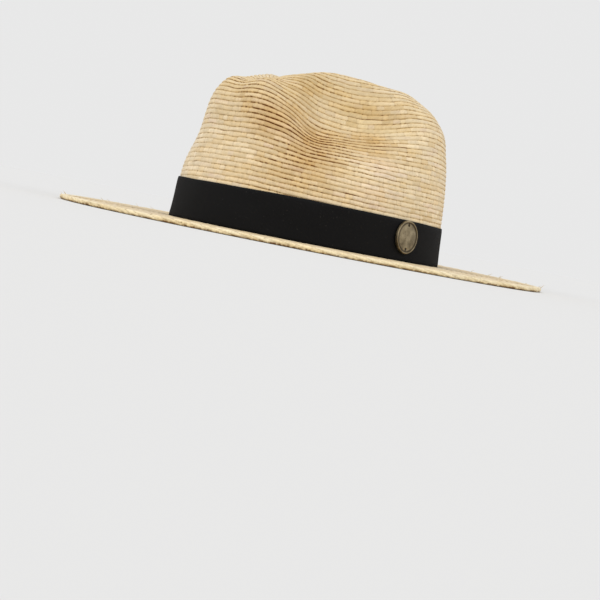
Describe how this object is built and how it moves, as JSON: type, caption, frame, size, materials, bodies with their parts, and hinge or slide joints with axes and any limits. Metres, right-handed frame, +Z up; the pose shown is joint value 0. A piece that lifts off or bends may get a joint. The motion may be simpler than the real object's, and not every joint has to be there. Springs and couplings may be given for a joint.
{
  "type": "straw fedora",
  "caption": "Braided straw fedora: crown pinched at the sides and hollowed on top, flat brim with a thick edge braid, plain dark ribbon band and a round metal badge.",
  "frame": {"origin": "on the table that the brim lies on, under the middle of the brim", "axes": "+Z up through the crown, the front of the hat towards -Y, the wearer's left and the badge towards +X"},
  "size_m": [0.314, 0.346, 0.1125],
  "materials": {
    "straw": "sewn palm-straw braid, matte",
    "edge_straw": "plaited palm straw, matte",
    "ribbon": "smooth matte dark cloth",
    "badge_metal": "antiqued, dull, worn bright on the rim",
    "thread": "matte"
  },
  "bodies": {
    "root": {"crown": "straw", "brim": "straw", "edge_braid": "edge_straw", "hat_band": "ribbon", "badge": "badge_metal", "badge_thread_upper": "thread", "badge_thread_lower": "thread"}
  },
  "joints": []
}
